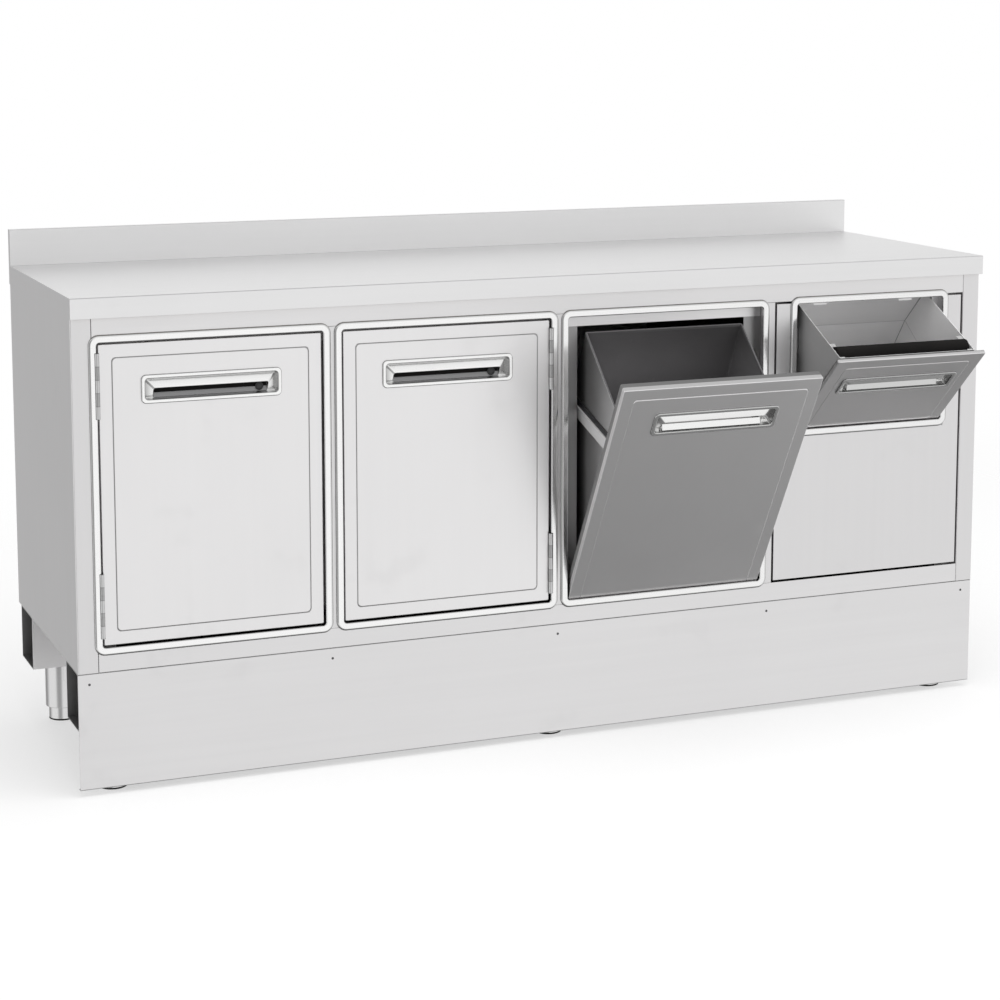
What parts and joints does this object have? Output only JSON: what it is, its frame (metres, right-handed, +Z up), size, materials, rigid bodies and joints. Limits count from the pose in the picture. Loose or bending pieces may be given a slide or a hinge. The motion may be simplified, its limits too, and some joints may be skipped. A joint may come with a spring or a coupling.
{
  "type": "coffee machine counter",
  "caption": "Stainless steel back counter for a coffee machine, with hinged doors, a tilting waste bin, a tilting knock drawer, an upstand, a plinth and adjustable feet.",
  "frame": {"origin": "on the floor under the middle of the whole footprint, with the bin and drawer tipped open as in the picture", "axes": "+X along the counter to the right as seen from the front, +Y from the doors to the back, +Z up"},
  "size_m": [2.002, 0.8644, 1.046],
  "materials": {
    "worktop_steel": "brushed along the counter",
    "sheet_steel": "satin",
    "bright_steel": "bright satin",
    "core_board": "raw board",
    "dark_plastic": "fine matt texture",
    "black_rubber": "matt"
  },
  "bodies": {
    "cabinet": {"worktop": "worktop_steel", "worktop_core": "core_board", "side_panel_left": "sheet_steel", "side_panel_right": "sheet_steel", "back_panel": "sheet_steel", "floor_panel": "sheet_steel", "top_rail": "sheet_steel", "bottom_rail": "sheet_steel", "partition_1": "sheet_steel", "partition_2": "sheet_steel", "partition_3": "sheet_steel", "trim_frame_1": "bright_steel", "trim_frame_2": "bright_steel", "trim_frame_3": "bright_steel", "trim_frame_drawer": "bright_steel", "blank_panel": "sheet_steel", "front_channel": "sheet_steel", "rear_channel": "sheet_steel", "plinth": "sheet_steel", "leg_front_left": "bright_steel", "leg_front_middle": "bright_steel", "leg_front_right": "bright_steel", "leg_rear_left": "bright_steel", "leg_rear_middle": "bright_steel", "leg_rear_right": "bright_steel", "door_1_hinge_fixed_bottom": "bright_steel", "door_1_hinge_fixed_top": "bright_steel", "door_2_hinge_fixed_bottom": "bright_steel", "door_2_hinge_fixed_top": "bright_steel", "bin_pivot_left": "sheet_steel", "bin_pivot_right": "sheet_steel", "drawer_bracket_left": "sheet_steel", "drawer_bracket_right": "sheet_steel"},
    "door_1": {"door_1_front": "sheet_steel", "door_1_inner_pan": "sheet_steel", "door_1_handle": "bright_steel", "door_1_hinge_leaf_bottom": "bright_steel", "door_1_hinge_leaf_top": "bright_steel"},
    "door_2": {"door_2_front": "sheet_steel", "door_2_inner_pan": "sheet_steel", "door_2_handle": "bright_steel", "door_2_hinge_leaf_bottom": "bright_steel", "door_2_hinge_leaf_top": "bright_steel"},
    "bin": {"bin_front": "sheet_steel", "bin_inner_pan": "sheet_steel", "bin_handle": "bright_steel", "bin_carrier": "sheet_steel"},
    "liner": {"bin_liner": "dark_plastic"},
    "drawer": {"drawer_front": "sheet_steel", "drawer_handle": "bright_steel", "drawer_box": "sheet_steel", "knock_bar": "black_rubber"},
    "foot_1": {"foot_front_left": "bright_steel"},
    "foot_2": {"foot_front_middle": "bright_steel"},
    "foot_3": {"foot_front_right": "bright_steel"},
    "foot_4": {"foot_rear_left": "bright_steel"},
    "foot_5": {"foot_rear_middle": "bright_steel"},
    "foot_6": {"foot_rear_right": "bright_steel"}
  },
  "joints": [
    {"name": "door_1_swing", "type": "hinge", "parent": "cabinet", "child": "door_1", "pos_m": [-0.95025, -0.17131, 0.5875], "axis": [0, 0, -1], "range_deg": [0, 90]},
    {"name": "door_2_swing", "type": "hinge", "parent": "cabinet", "child": "door_2", "pos_m": [-0.01975, -0.17131, 0.5875], "axis": [0, 0, 1], "range_deg": [0, 90]},
    {"name": "bin_tilt", "type": "hinge", "parent": "cabinet", "child": "bin", "pos_m": [0.2425, -0.09181, 0.314], "axis": [1, 0, 0], "range_deg": [-29.2, 0]},
    {"name": "liner_lift", "type": "slide", "parent": "bin", "child": "liner", "axis": [0, -0.4879, 0.8729], "range_m": [0, 0.5]},
    {"name": "drawer_tilt", "type": "hinge", "parent": "cabinet", "child": "drawer", "pos_m": [0.7275, -0.14081, 0.6265], "axis": [1, 0, 0], "range_deg": [-46.4, 0]},
    {"name": "foot_1_height", "type": "slide", "parent": "cabinet", "child": "foot_1", "axis": [0, 0, -1], "range_m": [0, 0.025]},
    {"name": "foot_2_height", "type": "slide", "parent": "cabinet", "child": "foot_2", "axis": [0, 0, -1], "range_m": [0, 0.025]},
    {"name": "foot_3_height", "type": "slide", "parent": "cabinet", "child": "foot_3", "axis": [0, 0, -1], "range_m": [0, 0.025]},
    {"name": "foot_4_height", "type": "slide", "parent": "cabinet", "child": "foot_4", "axis": [0, 0, -1], "range_m": [0, 0.025]},
    {"name": "foot_5_height", "type": "slide", "parent": "cabinet", "child": "foot_5", "axis": [0, 0, -1], "range_m": [0, 0.025]},
    {"name": "foot_6_height", "type": "slide", "parent": "cabinet", "child": "foot_6", "axis": [0, 0, -1], "range_m": [0, 0.025]}
  ]
}
